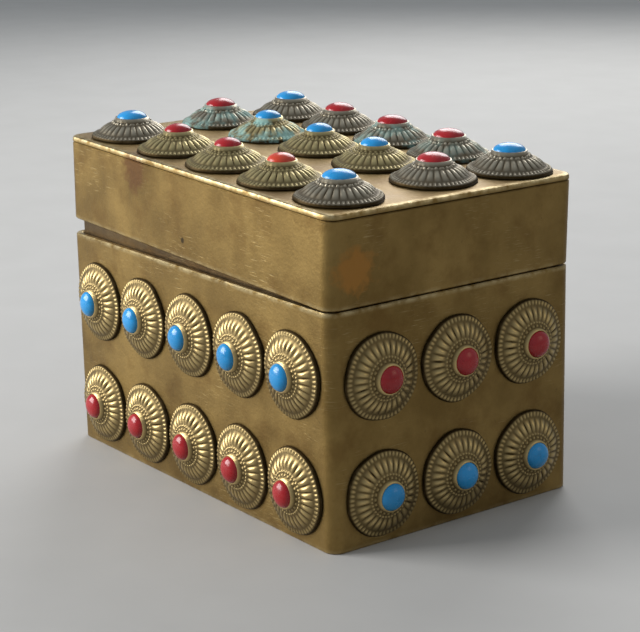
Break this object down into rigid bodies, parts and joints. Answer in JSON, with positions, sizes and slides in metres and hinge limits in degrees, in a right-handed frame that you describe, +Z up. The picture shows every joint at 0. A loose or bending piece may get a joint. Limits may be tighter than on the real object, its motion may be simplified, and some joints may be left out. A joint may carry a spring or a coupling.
{
  "type": "lidded box",
  "caption": "Rectangular brass box with a lift-off lid over an inner rim, set all over with stamped domed medallions that hold turquoise and coral coloured stones",
  "frame": {"origin": "under the middle of the base, on the surface it stands on", "axes": "+X along the long side, +Y to the back, +Z up"},
  "size_m": [0.1412, 0.0954, 0.1007],
  "materials": {
    "brass": "aged satin",
    "dark_brass": "dull tarnished",
    "medallion_turquoise": "stamped brass with a turquoise coloured stone",
    "medallion_coral": "stamped brass with a coral coloured stone"
  },
  "bodies": {
    "base": {"base_walls": "brass", "base_floor": "brass", "inner_rim": "dark_brass", "medallion_front_upper_1": "medallion_turquoise", "medallion_front_upper_2": "medallion_turquoise", "medallion_front_upper_3": "medallion_turquoise", "medallion_front_upper_4": "medallion_turquoise", "medallion_front_upper_5": "medallion_turquoise", "medallion_front_lower_1": "medallion_coral", "medallion_front_lower_2": "medallion_coral", "medallion_front_lower_3": "medallion_coral", "medallion_front_lower_4": "medallion_coral", "medallion_front_lower_5": "medallion_coral", "medallion_back_upper_1": "medallion_turquoise", "medallion_back_upper_2": "medallion_turquoise", "medallion_back_upper_3": "medallion_turquoise", "medallion_back_upper_4": "medallion_turquoise", "medallion_back_upper_5": "medallion_turquoise", "medallion_back_lower_1": "medallion_coral", "medallion_back_lower_2": "medallion_coral", "medallion_back_lower_3": "medallion_coral", "medallion_back_lower_4": "medallion_coral", "medallion_back_lower_5": "medallion_coral", "medallion_right_upper_1": "medallion_coral", "medallion_right_upper_2": "medallion_coral", "medallion_right_upper_3": "medallion_coral", "medallion_right_lower_1": "medallion_turquoise", "medallion_right_lower_2": "medallion_turquoise", "medallion_right_lower_3": "medallion_turquoise", "medallion_left_upper_1": "medallion_coral", "medallion_left_upper_2": "medallion_coral", "medallion_left_upper_3": "medallion_coral", "medallion_left_lower_1": "medallion_turquoise", "medallion_left_lower_2": "medallion_turquoise", "medallion_left_lower_3": "medallion_turquoise"},
    "lid": {"lid_band": "brass", "lid_plate": "brass", "medallion_lid_front_1": "medallion_turquoise", "medallion_lid_front_2": "medallion_coral", "medallion_lid_front_3": "medallion_coral", "medallion_lid_front_4": "medallion_coral", "medallion_lid_front_5": "medallion_turquoise", "medallion_lid_middle_1": "medallion_coral", "medallion_lid_middle_2": "medallion_turquoise", "medallion_lid_middle_3": "medallion_turquoise", "medallion_lid_middle_4": "medallion_turquoise", "medallion_lid_middle_5": "medallion_coral", "medallion_lid_back_1": "medallion_turquoise", "medallion_lid_back_2": "medallion_coral", "medallion_lid_back_3": "medallion_coral", "medallion_lid_back_4": "medallion_coral", "medallion_lid_back_5": "medallion_turquoise"}
  },
  "joints": [
    {"name": "lid_lift", "type": "slide", "parent": "base", "child": "lid", "axis": [0, 0, 1], "range_m": [0, 0.1]}
  ]
}
